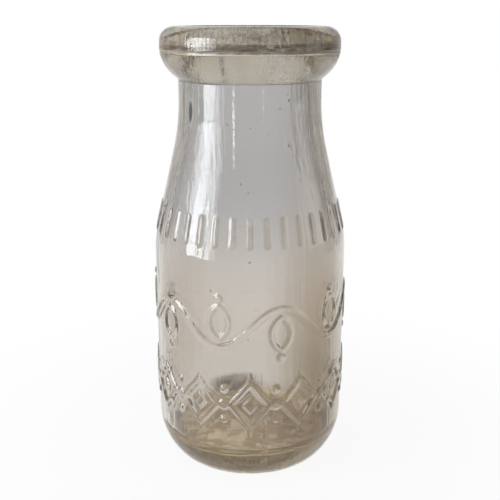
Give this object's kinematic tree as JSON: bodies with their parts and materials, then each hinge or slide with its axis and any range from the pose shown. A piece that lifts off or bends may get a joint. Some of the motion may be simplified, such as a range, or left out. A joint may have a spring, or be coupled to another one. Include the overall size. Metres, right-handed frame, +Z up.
{
  "type": "glass milk bottle",
  "caption": "Round clear-glass milk bottle with a heavy beaded lip, sloping shoulder and thick heel, closed by a paperboard disc with a stapled pull tab.",
  "frame": {"origin": "on the bottle's axis, at the level of the ring it stands on", "axes": "+Z up along the bottle's axis, +X along the pull tab from its staple to its free tip; the picture looks along +Y"},
  "size_m": [0.061, 0.061, 0.1397],
  "materials": {
    "glass": "clear old glass with a faint warm grey tint, fire-polished, with grime in the lip and foot",
    "paperboard": "pale cream waxed paperboard, matt, stained brown at the edge",
    "tab_paper": "aged brown kraft paper, matt",
    "steel_wire": "dull steel wire with some rust"
  },
  "bodies": {
    "bottle": {"bottle": "glass"},
    "cap": {"cap_disc": "paperboard", "tab_base": "tab_paper", "staple": "steel_wire"},
    "tab": {"pull_tab": "tab_paper"}
  },
  "joints": [
    {"name": "cap_lift", "type": "slide", "parent": "bottle", "child": "cap", "axis": [0, 0, 1], "range_m": [0, 0.05]},
    {"name": "tab_lift", "type": "hinge", "parent": "cap", "child": "tab", "pos_m": [-0.005, 0, 0.1351], "axis": [0, -1, 0], "range_deg": [0, 100]}
  ]
}
